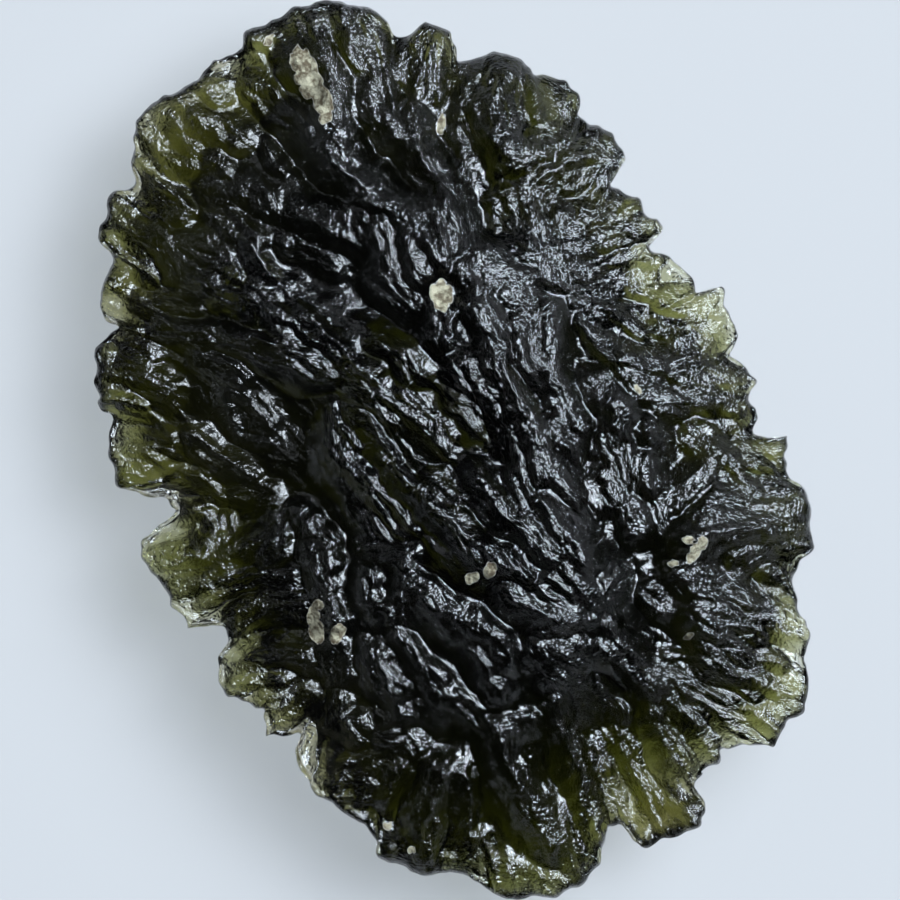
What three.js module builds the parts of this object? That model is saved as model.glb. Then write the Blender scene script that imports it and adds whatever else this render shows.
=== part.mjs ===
// Moldavite: one natural piece of deeply etched tektite glass, lying on its worn underside.
//
// Millimetres, +Z up. X is across the piece and Y along it. The origin is the middle of the footprint, on
// the plane that the piece rests on. The whole piece is one closed solid: an upper and a lower sheet laid
// over the same notched outline and joined at its rim. Ridges run out from a hub above the middle, and the
// ground between them is eaten into long scalloped pits.

import * as THREE from 'three';

// ---- Driving dimensions ----

const LENGTH = 37.2;                 // along Y; everything else keeps its proportion to this
const DRAWN_LENGTH = 37.2;           // length at which the tables below are written
const NODE_NAME = 'moldavite';
const GLASS_COLOUR = 0x3c4220;
const GLASS_ROUGHNESS = 0.14;

const RINGS = 24;                    // rings of the sheet grid, from the middle to the rim
const RIM_STEPS = 8 * RINGS;         // points around the rim
const SMOOTH_STEPS = 5;              // rim points to each side that the inner rings are averaged over
const NOTCHED_FROM = 0.72;           // share of the way out where rings start to follow the notches

const MIDDLE_HEIGHT = 4.9;           // height of the rim above the resting plane
const RIM_SWAY = 0.6;                // how far the rim rises and falls along its way round
const UPPER_EDGE = 0.5;              // how far the edge reaches above that height
const UPPER_ROUNDING = 0.6;          // distance over which it rounds off to the rim
const LOWER_EDGE = 1.9;              // the same two for the part of the edge below it
const LOWER_ROUNDING = 1.7;
const CROWN_RISE = 2.9;              // rise of the upper sheet above the edge
const CROWN_REACH = 10.5;            // distance from the rim where the crown is full
const CROWN_POWER = 1.1;             // over 1, the sheet swells slowly at first
const BELLY_CLEARANCE = 0.5;         // height of the full belly above the resting plane
const BELLY_REACH = 6.4;             // distance from the rim where the belly is full
const BELLY_POWER = 1.25;
const LEAST_THICKNESS = 0.45;        // the glass is nowhere thinner, away from the edge
const RELIEF_REACH = 2.2;            // ridges and pits fade out over this distance from the rim
const RELIEF_AT_RIM = 0.85;          // share of the relief that is left at the rim

const RIDGE_HALF_WIDTH = 1.1;        // distance over which a ridge falls to nothing
const RIDGE_ROUNDING = 0.3;          // radius of a ridge's crest
const PIT_CELL = 1.7;                // one scalloped pit to a square of this size
const PIT_LONG = 1.35;               // half length and half width of a pit, in cells
const PIT_SHORT = 0.6;
const PIT_SCATTER = 0.8;             // how far a pit strays inside its cell, in cells
const PIT_DEPTH_ABOVE = 0.35;
const PIT_DEPTH_BELOW = 0.55;
const BELLY_HUB = [1.2, -1.5];       // the pits of the underside run out from here

// The notched outline, counterclockwise from the lower right corner: [x, y].
const OUTLINE = [
  [13.3, -12.4], [13.8, -11.3], [14.5, -10.9], [14.7, -10.2], [14.7, -9.4], [14.5, -8.6], [14.8, -7.5],
  [14.4, -6.5], [14.1, -5.3], [14.7, -4.5], [15.0, -4.0], [14.75, -3.0], [14.8, -2.4], [14.0, -1.1],
  [13.8, -0.1], [14.0, 0.7], [12.5, 0.75], [12.6, 1.8], [12.25, 2.1], [12.7, 2.9], [12.25, 3.5],
  [11.4, 3.9], [11.8, 4.7], [11.5, 5.5], [11.1, 6.0], [11.1, 6.8], [10.0, 6.5], [9.9, 7.0],
  [9.2, 7.7], [8.2, 8.5], [8.75, 9.3], [8.5, 9.75], [7.9, 9.8], [7.7, 10.5], [6.5, 11.0],
  [7.2, 12.0], [6.7, 13.2], [6.1, 13.5], [5.5, 13.5], [5.1, 14.0], [5.1, 14.7], [4.5, 15.5],
  [3.3, 15.6], [2.9, 16.2], [2.4, 16.5], [1.6, 16.7], [0.1, 16.2], [0.0, 17.5], [-1.3, 18.0],
  [-1.9, 17.3], [-2.4, 17.2], [-2.6, 17.7], [-3.5, 18.4], [-4.3, 18.6], [-5.2, 18.6], [-6.5, 18.4],
  [-7.7, 17.7], [-8.7, 17.3], [-8.75, 16.7], [-10.0, 16.3], [-10.7, 15.2], [-12.1, 14.9],
  [-13.25, 13.2], [-13.5, 12.2], [-13.3, 11.0], [-14.2, 10.9], [-14.6, 10.1], [-14.9, 8.8],
  [-14.3, 7.9], [-14.9, 6.3], [-14.4, 5.3], [-13.8, 5.1], [-15.0, 4.2], [-15.0, 2.0], [-14.3, 1.4],
  [-14.5, -0.2], [-14.0, -1.5], [-11.9, -2.0], [-11.5, -2.5], [-13.0, -3.8], [-13.0, -4.5],
  [-11.9, -6.0], [-11.2, -7.5], [-9.6, -7.4], [-9.5, -8.0], [-9.9, -8.5], [-9.9, -9.3],
  [-9.5, -10.2], [-7.9, -10.75], [-7.9, -12.0], [-6.4, -11.8], [-6.7, -12.5], [-6.1, -14.0],
  [-4.7, -14.8], [-3.3, -16.2], [-3.1, -16.8], [-1.3, -17.7], [0.4, -17.8], [2.1, -18.6],
  [4.2, -18.6], [4.9, -18.1], [5.6, -17.9], [6.2, -17.3], [6.3, -15.6], [6.9, -15.5], [7.3, -16.0],
  [7.9, -16.5], [8.6, -16.2], [10.2, -15.6], [10.4, -15.1], [10.0, -13.9], [10.1, -13.25],
  [11.0, -13.1], [11.1, -12.4],
];

// The main ridges of the upper side: a height, then the points of the crest.
const RIDGES = [
  // from the top rim down to the hub
  [1.0, [-5.9, 15.8], [-4.6, 12.1], [-3.3, 10.4], [-1.9, 9.8], [-0.6, 8.5], [-0.2, 7.3]],
  [0.8, [-2.6, 13.75], [-1.25, 11.25], [-0.6, 10.4], [0.0, 8.3]],
  [0.6, [-3.2, 17.6], [-3.4, 14.2]],
  [0.6, [-1.0, 17.0], [-0.6, 13.2], [0.4, 10.6]],
  [0.9, [2.4, 15.6], [1.9, 13.9], [2.6, 12.4], [4.8, 12.2]],
  // upper left
  [0.8, [-10.4, 14.0], [-8.8, 12.8], [-7.5, 11.0]],
  [0.7, [-9.8, 12.1], [-8.5, 10.4], [-8.1, 8.5]],
  [0.8, [-12.7, 11.0], [-10.6, 9.2], [-9.2, 7.9]],
  [0.8, [-12.1, 8.75], [-11.0, 7.7], [-9.4, 6.7]],
  // the two long ones from the left rim to the middle
  [0.9, [-10.4, 7.1], [-8.1, 6.25], [-6.9, 5.6], [-5.2, 4.4], [-2.9, 2.7]],
  [1.0, [-12.7, 5.0], [-8.1, 4.5], [-6.5, 4.0], [-4.6, 3.0], [-3.3, 2.1]],
  // the middle, running down to the right
  [1.1, [1.0, 6.0], [2.0, 4.75], [2.3, 2.75], [2.75, 1.5], [3.6, -0.4], [4.2, -1.5]],
  [0.9, [3.9, 5.8], [4.2, 4.4], [4.4, 3.1], [5.5, 0.4]],
  [0.8, [-3.75, 2.4], [-2.9, 1.7], [-2.5, 0.2], [-1.5, -0.8]],
  [0.9, [-4.8, 0.4], [-3.75, -1.0], [-2.9, -2.3], [-1.0, -4.0]],
  [1.1, [-2.3, -1.0], [-0.75, -2.4], [0.5, -3.5], [2.0, -4.5], [2.9, -6.0], [4.6, -7.1]],
  [0.8, [1.0, -1.25], [1.9, -2.3], [3.75, -4.4], [4.9, -5.9]],
  [0.8, [3.75, -2.1], [4.4, -2.9], [5.0, -4.0], [5.6, -5.0]],
  // the lower part
  [0.9, [-2.3, -5.0], [-0.5, -6.5], [2.0, -7.9], [2.4, -9.2], [2.2, -10.0]],
  [0.7, [-2.7, -6.25], [-2.1, -7.7], [-0.5, -10.0]],
  [0.8, [-4.2, -5.8], [-3.5, -7.9], [-2.5, -10.2]],
  [0.8, [1.9, -12.2], [2.1, -13.1], [3.8, -15.1], [4.0, -16.5]],
  [1.0, [3.75, -7.9], [4.2, -10.0], [4.6, -11.9], [5.5, -13.7], [6.0, -16.0]],
  [0.7, [-0.3, -13.0], [-0.8, -13.9], [-1.5, -16.25]],
  [0.8, [7.0, -8.0], [8.0, -8.9], [8.3, -9.7], [8.6, -11.8], [9.3, -12.5]],
  // the right side
  [1.0, [8.75, -4.6], [10.25, -3.5], [12.3, -3.2], [14.5, -2.7]],
  [1.0, [6.5, 1.5], [7.0, -0.3], [6.75, -1.5], [7.7, -3.0]],
  [0.9, [5.7, 5.4], [6.3, 4.3], [7.0, 3.8], [8.4, 3.5], [12.3, 2.9]],
  [0.7, [10.75, -0.2], [10.1, -1.0], [9.5, -1.8]],
  [0.7, [10.0, -6.7], [11.5, -6.8], [12.75, -7.3]],
  [0.8, [1.9, 7.8], [3.5, 9.0], [6.5, 10.8]],
  [0.8, [2.5, 7.3], [4.4, 8.3], [6.5, 9.4], [8.3, 9.5]],
  [0.6, [4.4, 6.7], [6.0, 7.5], [7.7, 8.3]],
];

// Deep furrows and hollows of the upper side: depth, half width, then the points of the bottom line.
const FURROWS = [
  [0.9, 1.0, [6.0, 0.8], [6.7, -1.25], [7.7, -4.6], [8.5, -7.1], [9.0, -8.3]],
  [0.55, 0.6, [4.9, 0.0], [6.0, -3.0]],
  [0.65, 0.9, [9.4, 0.6], [9.2, -1.8]],
  [0.9, 1.2, [-5.4, 9.2], [-2.3, 7.5]],
  [0.6, 0.8, [0.2, 12.5], [1.9, 9.2]],
  [0.6, 0.8, [-3.5, 12.3], [-1.7, 11.0]],
  [0.55, 1.2, [-11.5, -2.5], [-6.5, -2.3], [-2.9, -3.4]],
  [0.5, 1.2, [-9.3, 0.9], [-6.2, 1.6]],
  [0.6, 1.3, [5.8, -11.0], [8.2, -14.6]],
  [0.4, 0.9, [7.4, 5.0], [8.0, 4.6]],
  [0.35, 1.0, [0.4, -11.8], [-1.2, -11.6]],
];

// Places where the glass is thin and lets light through: x, y, radius, share taken off the thickness.
const THIN_PLACES = [
  [-12.3, 13.4, 2.6, 0.55], [-8.5, 14.4, 2.0, 0.35], [-13.6, 6.5, 1.8, 0.6], [-13.3, 0.0, 2.2, 0.5],
  [-11.4, -5.4, 2.8, 0.7], [-8.8, -9.4, 1.9, 0.55], [-7.0, -11.4, 1.5, 0.5], [-5.8, -13.4, 1.6, 0.45],
  [8.4, 7.2, 2.9, 0.72], [11.0, 5.2, 2.0, 0.55], [13.6, -7.5, 1.8, 0.55], [13.9, -9.8, 1.6, 0.5],
  [12.2, -11.7, 2.0, 0.6], [2.6, -17.8, 2.0, 0.45], [7.9, -13.0, 3.0, 0.5], [-3.1, 5.0, 1.4, 0.2],
];

// Broad humps of the upper side: x, y, radius, height. The first is the hub that the ridges run out from.
const HUMPS = [[-0.6, 5.8, 4.8, 0.8], [2.6, -4.6, 5.0, 0.7], [-8.2, 4.6, 3.6, 0.5], [11.0, -3.4, 3.2, 0.5]];

// Low knobs of the underside, worn flat where the piece lies on them: x, y, radius, height.
const KNOBS = [
  [-5.6, 6.4, 3.0, 1.5], [4.2, 5.6, 2.8, 1.6], [-4.6, -5.0, 2.8, 1.6], [5.8, -6.6, 2.8, 1.5],
];

// ---- Small helpers ----

const clamp01 = (t) => Math.min(Math.max(t, 0), 1);
const smooth = (t) => clamp01(t) ** 2 * (3 - 2 * clamp01(t));
const mix = (a, b, t) => a + (b - a) * t;

// A number from 0 to 1 that looks random but is the same for the same cell and channel.
function scatter(i, j, channel) {
  const wave = Math.sin(i * 127.1 + j * 311.7 + channel * 74.7) * 43758.5453;
  return wave - Math.floor(wave);
}

function distanceToSegment(x, y, [ax, ay], [bx, by]) {
  const dx = bx - ax;
  const dy = by - ay;
  const along = clamp01(((x - ax) * dx + (y - ay) * dy) / (dx * dx + dy * dy));
  return Math.hypot(x - ax - along * dx, y - ay - along * dy);
}

function distanceToLine(x, y, points) {
  let nearest = Infinity;
  for (let k = 1; k < points.length; k += 1) {
    nearest = Math.min(nearest, distanceToSegment(x, y, points[k - 1], points[k]));
  }
  return nearest;
}

const CLOSED_OUTLINE = [...OUTLINE, OUTLINE[0]];
const rimDistance = (x, y) => distanceToLine(x, y, CLOSED_OUTLINE);
const RIDGE_LINES = RIDGES.map(([height, ...points]) => ({ height, points }));
const FURROW_LINES = FURROWS.map(([depth, halfWidth, ...points]) => ({ depth, halfWidth, points }));

// ---- The way the relief runs ----

// Direction of the ridges at a place: the directions of all crest segments, averaged as doubled angles so
// that either sense counts alike, each weighted by how near it is.
const CREST_SEGMENTS = RIDGE_LINES.flatMap(({ points }) => points.slice(1).map((b, k) => ({
  a: points[k],
  b,
  doubled: 2 * Math.atan2(b[1] - points[k][1], b[0] - points[k][0]),
})));

function crestDirection(x, y) {
  let across = 0;
  let along = 0;
  for (const { a, b, doubled } of CREST_SEGMENTS) {
    const weight = 1 / (distanceToSegment(x, y, a, b) ** 2 + 0.4) ** 2;
    along += weight * Math.cos(doubled);
    across += weight * Math.sin(doubled);
  }
  return Math.atan2(across, along) / 2;
}

// The pits of the underside simply run out from its own hub.
const bellyDirection = (x, y) => Math.atan2(y - BELLY_HUB[1], x - BELLY_HUB[0]);

// Scalloped pits: one long bowl to a cell, turned to the direction of the relief there. The value is 0 at
// the bottom of a bowl and rises with the square of the distance to 1, so that bowls meet in sharp crests.
function makeScallops(direction, channel) {
  const bowls = new Map();
  const bowlOf = (i, j) => {
    const key = `${i},${j}`;
    if (!bowls.has(key)) {
      const x = (i + 0.5 + PIT_SCATTER * (scatter(i, j, channel) - 0.5)) * PIT_CELL;
      const y = (j + 0.5 + PIT_SCATTER * (scatter(i, j, channel + 1) - 0.5)) * PIT_CELL;
      const turn = direction(x, y);
      bowls.set(key, { x, y, cos: Math.cos(turn), sin: Math.sin(turn) });
    }
    return bowls.get(key);
  };
  return (x, y) => {
    const i = Math.floor(x / PIT_CELL);
    const j = Math.floor(y / PIT_CELL);
    let lowest = 1;
    for (let di = -2; di <= 2; di += 1) {
      for (let dj = -2; dj <= 2; dj += 1) {
        const bowl = bowlOf(i + di, j + dj);
        const along = (x - bowl.x) * bowl.cos + (y - bowl.y) * bowl.sin;
        const across = (y - bowl.y) * bowl.cos - (x - bowl.x) * bowl.sin;
        const value = (along / (PIT_LONG * PIT_CELL)) ** 2 + (across / (PIT_SHORT * PIT_CELL)) ** 2;
        lowest = Math.min(lowest, value);
      }
    }
    return lowest;
  };
}

const crownPits = makeScallops(crestDirection, 1);
const bellyPits = makeScallops(bellyDirection, 5);

// ---- Heights ----

// Ridges fall away from their crest like a roof with a rounded top; where two meet, the higher one wins.
function ridgeHeight(x, y) {
  let highest = 0;
  for (const { height, points } of RIDGE_LINES) {
    const rounded = Math.hypot(distanceToLine(x, y, points), RIDGE_ROUNDING) - RIDGE_ROUNDING;
    highest = Math.max(highest, height * (1 - rounded / RIDGE_HALF_WIDTH));
  }
  return highest;
}

function furrowDepth(x, y) {
  let deepest = 0;
  for (const { depth, halfWidth, points } of FURROW_LINES) {
    const distance = distanceToLine(x, y, points);
    deepest = Math.max(deepest, depth * Math.exp(-((distance / halfWidth) ** 2)));
  }
  return deepest;
}

const bell = (x, y, cx, cy, radius) => Math.exp(-((x - cx) ** 2 + (y - cy) ** 2) / radius ** 2);

function humpHeight(x, y) {
  let highest = 0;
  for (const [cx, cy, radius, height] of HUMPS) {
    highest = Math.max(highest, height * bell(x, y, cx, cy, radius));
  }
  return highest;
}

function thinShare(x, y) {
  let kept = 1;
  for (const [cx, cy, radius, share] of THIN_PLACES) {
    kept *= 1 - share * bell(x, y, cx, cy, radius);
  }
  return kept;
}

// The rim doesn't lie in one plane: it sways gently along both directions.
const middleHeight = (x, y) => MIDDLE_HEIGHT + RIM_SWAY * Math.sin(0.24 * x + 0.6) * Math.cos(0.17 * y - 0.4);

// One half of the edge's section: a quarter of an ellipse.
const edge = (distance, height, rounding) => height * Math.sqrt(1 - (1 - clamp01(distance / rounding)) ** 2);

const swell = (distance, reach, power) => Math.sin(Math.PI / 2 * clamp01(distance / reach)) ** power;

const reliefShare = (distance) => mix(RELIEF_AT_RIM, 1, smooth(distance / RELIEF_REACH));

function lowerHeight(x, y) {
  const distance = rimDistance(x, y);
  const thin = thinShare(x, y);
  const belly = swell(distance, BELLY_REACH, BELLY_POWER) * thin;
  const pits = PIT_DEPTH_BELOW * (1 - bellyPits(x, y)) * reliefShare(distance);
  let knobs = 0;
  for (const [cx, cy, radius, height] of KNOBS) {
    knobs = Math.max(knobs, height * (1 - smooth(Math.hypot(x - cx, y - cy) / radius)));
  }
  const rim = middleHeight(x, y) - edge(distance, LOWER_EDGE, LOWER_ROUNDING) * thin;
  const dished = mix(rim, BELLY_CLEARANCE, belly);
  return Math.max(dished + pits - knobs, 0);
}

function upperHeight(x, y) {
  const distance = rimDistance(x, y);
  const rise = CROWN_RISE + humpHeight(x, y);
  const crown = rise * swell(distance, CROWN_REACH, CROWN_POWER) * thinShare(x, y);
  const pits = PIT_DEPTH_ABOVE * (1 - crownPits(x, y));
  const relief = (ridgeHeight(x, y) - furrowDepth(x, y) - pits) * reliefShare(distance);
  const height = middleHeight(x, y) + edge(distance, UPPER_EDGE, UPPER_ROUNDING) + crown + relief;
  const least = LEAST_THICKNESS * clamp01(distance / UPPER_ROUNDING);
  return Math.max(height, lowerHeight(x, y) + least);
}

// ---- The sheet grid ----

// The rim is walked in RIM_STEPS steps of about equal length, with one step on each point of the outline.
function stepAlongRim() {
  const lengths = OUTLINE.map((point, k) => Math.hypot(
    CLOSED_OUTLINE[k + 1][0] - point[0],
    CLOSED_OUTLINE[k + 1][1] - point[1],
  ));
  const total = lengths.reduce((sum, length) => sum + length, 0);
  const stops = [];
  let walked = 0;
  lengths.forEach((length, k) => {
    const wanted = Math.round(walked / total * RIM_STEPS);
    stops.push(k === 0 ? 0 : Math.max(wanted, stops[k - 1] + 1));
    walked += length;
  });
  for (let k = stops.length - 1; k > 0; k -= 1) {
    stops[k] = Math.min(stops[k], RIM_STEPS - (stops.length - k));
  }
  stops.push(RIM_STEPS);
  const rim = [];
  OUTLINE.forEach((point, k) => {
    const next = CLOSED_OUTLINE[k + 1];
    const steps = stops[k + 1] - stops[k];
    for (let s = 0; s < steps; s += 1) {
      rim.push([mix(point[0], next[0], s / steps), mix(point[1], next[1], s / steps)]);
    }
  });
  return rim;
}

const RIM = stepAlongRim();
const rimAt = (k) => RIM[((k % RIM_STEPS) + RIM_STEPS) % RIM_STEPS];

const SMOOTH_RIM = RIM.map((_, k) => {
  let x = 0;
  let y = 0;
  for (let s = -SMOOTH_STEPS; s <= SMOOTH_STEPS; s += 1) {
    x += rimAt(k + s)[0];
    y += rimAt(k + s)[1];
  }
  return [x / (2 * SMOOTH_STEPS + 1), y / (2 * SMOOTH_STEPS + 1)];
});

function between(points, place) {
  const k = Math.floor(place);
  const a = points[k % RIM_STEPS];
  const b = points[(k + 1) % RIM_STEPS];
  return [mix(a[0], b[0], place - k), mix(a[1], b[1], place - k)];
}

// How far round its ring a corner of the square grid lies, as a share of the ring, from its lower right.
function shareRound(column, row, ring) {
  if (column === ring && row < ring) return (row + ring) / (8 * ring);
  if (row === ring && column > -ring) return (3 * ring - column) / (8 * ring);
  if (column === -ring && row > -ring) return (5 * ring - row) / (8 * ring);
  return (7 * ring + column) / (8 * ring);
}

// Square rings are stretched to the outline: smooth inside, notched towards the rim.
function placeOnSheet(column, row) {
  const ring = Math.max(Math.abs(column), Math.abs(row));
  if (ring === 0) return [0, 0];
  const place = shareRound(column, row, ring) * RIM_STEPS;
  const out = ring / RINGS;
  const notched = smooth((out - NOTCHED_FROM) / (1 - NOTCHED_FROM));
  const soft = between(SMOOTH_RIM, place);
  const sharp = between(RIM, place);
  return [out * mix(soft[0], sharp[0], notched), out * mix(soft[1], sharp[1], notched)];
}

function buildPiece() {
  const side = 2 * RINGS + 1;
  const positions = [];
  const upper = [];
  const lower = [];
  const addVertex = (x, y, z) => {
    positions.push(x, y, z);
    return positions.length / 3 - 1;
  };
  for (let row = -RINGS; row <= RINGS; row += 1) {
    for (let column = -RINGS; column <= RINGS; column += 1) {
      const [x, y] = placeOnSheet(column, row);
      const onRim = Math.max(Math.abs(column), Math.abs(row)) === RINGS;
      if (onRim) {
        const shared = addVertex(x, y, middleHeight(x, y));
        upper.push(shared);
        lower.push(shared);
      } else {
        upper.push(addVertex(x, y, upperHeight(x, y)));
        lower.push(addVertex(x, y, lowerHeight(x, y)));
      }
    }
  }
  const faces = [];
  for (let row = 0; row < side - 1; row += 1) {
    for (let column = 0; column < side - 1; column += 1) {
      const corner = row * side + column;
      const a = corner;
      const b = corner + 1;
      const c = corner + side + 1;
      const d = corner + side;
      // the diagonal runs out from the middle, so that no face folds over at the grid's four corners
      const outward = (row < RINGS) === (column < RINGS);
      const pair = outward ? [[a, b, c], [a, c, d]] : [[a, b, d], [b, c, d]];
      for (const [p, q, r] of pair) {
        faces.push(upper[p], upper[q], upper[r], lower[p], lower[r], lower[q]);
      }
    }
  }
  const geometry = new THREE.BufferGeometry();
  geometry.setAttribute('position', new THREE.Float32BufferAttribute(positions, 3));
  geometry.setIndex(faces);
  geometry.scale(LENGTH / DRAWN_LENGTH, LENGTH / DRAWN_LENGTH, LENGTH / DRAWN_LENGTH);
  geometry.computeVertexNormals();
  return geometry;
}

// ---- The piece ----

const glass = new THREE.MeshStandardMaterial({
  color: GLASS_COLOUR,
  roughness: GLASS_ROUGHNESS,
  metalness: 0,
});
const moldavite = new THREE.Mesh(buildPiece(), glass);
moldavite.name = NODE_NAME;

const group = new THREE.Group();
group.add(moldavite);

export default group;
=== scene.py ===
"""Moldavite: a natural piece of etched green tektite glass, lying on a pale floor and seen from above."""
import math

import bpy
import numpy as np
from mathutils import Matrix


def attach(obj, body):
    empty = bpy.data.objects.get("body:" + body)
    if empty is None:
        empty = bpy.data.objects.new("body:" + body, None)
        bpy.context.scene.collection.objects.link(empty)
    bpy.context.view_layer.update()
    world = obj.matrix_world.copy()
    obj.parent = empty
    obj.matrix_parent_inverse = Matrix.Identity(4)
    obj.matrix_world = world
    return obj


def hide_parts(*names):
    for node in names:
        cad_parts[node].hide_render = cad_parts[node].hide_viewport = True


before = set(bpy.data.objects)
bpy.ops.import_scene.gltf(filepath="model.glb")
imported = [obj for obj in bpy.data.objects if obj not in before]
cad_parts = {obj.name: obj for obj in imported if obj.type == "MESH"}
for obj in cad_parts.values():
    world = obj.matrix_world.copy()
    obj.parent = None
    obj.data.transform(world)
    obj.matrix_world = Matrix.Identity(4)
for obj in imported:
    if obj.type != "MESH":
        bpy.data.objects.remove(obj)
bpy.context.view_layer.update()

MM = 0.001


# ------------------------------------------------------------
# Camera
# The camera looks straight down on the ridged face, with the long side upright in the picture.
# ------------------------------------------------------------
FRAME_HEIGHT = 37.5 * MM            # height of the picture at the plane of the rim
CAMERA_HEIGHT = 320 * MM
RIM_PLANE = 4.3 * MM

camera_data = bpy.data.cameras.new("camera")
camera_data.sensor_fit = "VERTICAL"
camera_data.sensor_width = camera_data.sensor_height = 24.0
camera_data.lens = 24.0 * (CAMERA_HEIGHT - RIM_PLANE) / FRAME_HEIGHT
camera_data.clip_start = 0.01
camera_data.clip_end = 20.0
camera = bpy.data.objects.new("camera", camera_data)
camera.location = (-0.2 * MM, 0.0, CAMERA_HEIGHT)
bpy.context.collection.objects.link(camera)
bpy.context.scene.camera = camera


# ------------------------------------------------------------
# Moldavite
# One solid piece of deep olive-green tektite glass. Weak acids in the soil have etched it for millions
# of years: sharp ridges run out from a hub, and the ground between them is eaten into long pits.
# ------------------------------------------------------------
RINGS = 140                          # rings of the upper side's grid, the lower side has half as many
RIM_STEPS = 8 * RINGS
SMOOTH_STEPS = 28                    # rim points to each side that the inner rings are averaged over
NOTCHED_FROM = 0.72

MIDDLE_HEIGHT = 4.9                  # all of the shape is worked out in millimetres
RIM_SWAY = 0.6
BLUNT_WIDTH = 0.22                   # the rim itself is a low wall of this width
BLUNT_SHARE = 0.45                   # and this share of the edge's height
UPPER_EDGE = 0.15                    # rim above the middle height, and how far in it is bevelled
UPPER_ROUNDING = 0.6
LOWER_EDGE = 1.9                     # the same below it
LOWER_ROUNDING = 2.2
LOWER_EDGE_KEPT = 0.4                # share of the lower edge that thin places leave as it is
RIM_RAGGED = ((88, 0.16), (190, 0.13), (380, 0.06))  # small chips of the rim: number around it, depth
GROOVES = ((110, 0.34), (210, 0.24), (400, 0.09))    # grooves inwards from the rim: number, depth
GROOVE_REACH = 3.4
LOWER_GROOVE_GAIN = 1.5              # the grooves of the underside are this many times as deep
TOOTH_LEAST_DEPTH = 0.35             # a corner of the rim that stands out this far counts as a tooth
TOOTH_LENGTH = 2.6                   # how far the ridge of a tooth of the rim runs inwards
TOOTH_HALF_WIDTH = 0.34
TOOTH_HEIGHT = 0.45
SOIL_THICKNESS = 0.05
CROWN_RISE = 2.7
CROWN_REACH = 10.5
CROWN_POWER = 1.1
BELLY_CLEARANCE = 0.3                # height of the full belly above the floor
BELLY_REACH = 6.4
BELLY_POWER = 1.25
LEAST_THICKNESS = 0.45
RELIEF_REACH = 2.2
RELIEF_AT_RIM = 0.85

RIDGE_HALF_WIDTH = 1.3
RIDGE_ROUNDING = 0.3
RIDGE_SHARE = 0.3                    # share of a main ridge's height that its broad foot makes up
STRAND_SPREAD = 1.8                  # width of a strand's flank, in its half widths
STRAND_ROUNDING = 0.36
STRAND_GAIN = 0.9
STRAND_BEADS = 0.2                   # share of a strand's height that comes and goes from bead to bead
TOP_FROM = 0.5                       # a strand's top begins at this share of its height
TOP_BLEND = 0.4                      # and is full this much higher
VALLEY_BEADS = 0.4                   # share of the beads' height between the strands
STRAND_SHIFT = (0.15, 0.1)           # the strands lie this far to the left and below their points
WARP = 0.07                          # how far the lines of the relief wander
DIRECTION_BLUR = 0.4                 # keeps the nearest crest from setting the direction alone
FURROW_GAIN = 0.48
FURROW_REACH = 1.7                   # a furrow ends at this many half widths from its line
FURROW_WALL = 1.4                    # and its wall is this many half widths wide
PIT_SCATTER = 0.8                    # share of its cell that a pit's place is scattered over
NEIGHBOURS = 2                       # cells to each side in which the nearest pit is looked for
# channels of the scatter
RIM_CHANNEL, UPPER_GROOVE_CHANNEL, LOWER_GROOVE_CHANNEL = 61, 71, 83
BELLY_HUB = (1.2, -1.5)

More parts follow.
